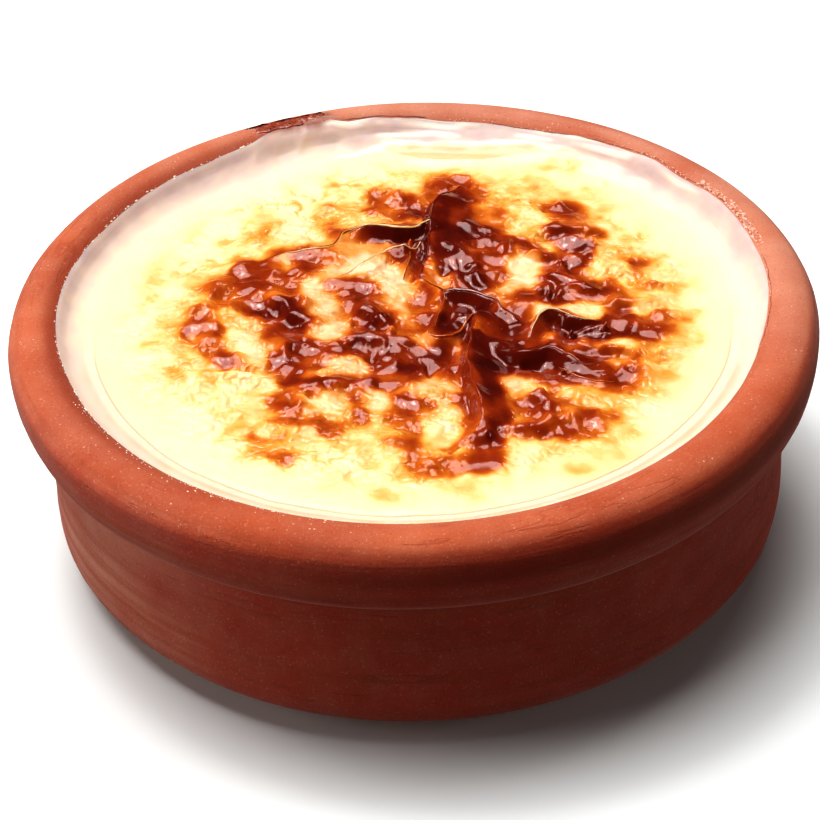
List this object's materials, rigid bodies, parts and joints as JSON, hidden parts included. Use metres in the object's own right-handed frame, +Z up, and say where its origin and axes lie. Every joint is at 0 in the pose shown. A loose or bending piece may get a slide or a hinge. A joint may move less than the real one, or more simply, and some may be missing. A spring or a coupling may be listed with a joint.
{
  "type": "baked rice pudding",
  "caption": "Rice pudding with a browned, folded skin, baked in and filling a round terracotta bowl with a fat rolled rim.",
  "frame": {"origin": "centre of the bowl's foot, on the surface that it stands on", "axes": "+Z up along the bowl's axis; +Y towards the back, where the pudding's edge climbs highest; +X to the right"},
  "size_m": [0.12, 0.12, 0.0394],
  "materials": {
    "terracotta": "unglazed, matt",
    "baked_cream": "milk pudding with a browned, glossy skin"
  },
  "bodies": {
    "root": {"bowl": "terracotta", "pudding": "baked_cream"}
  },
  "joints": []
}
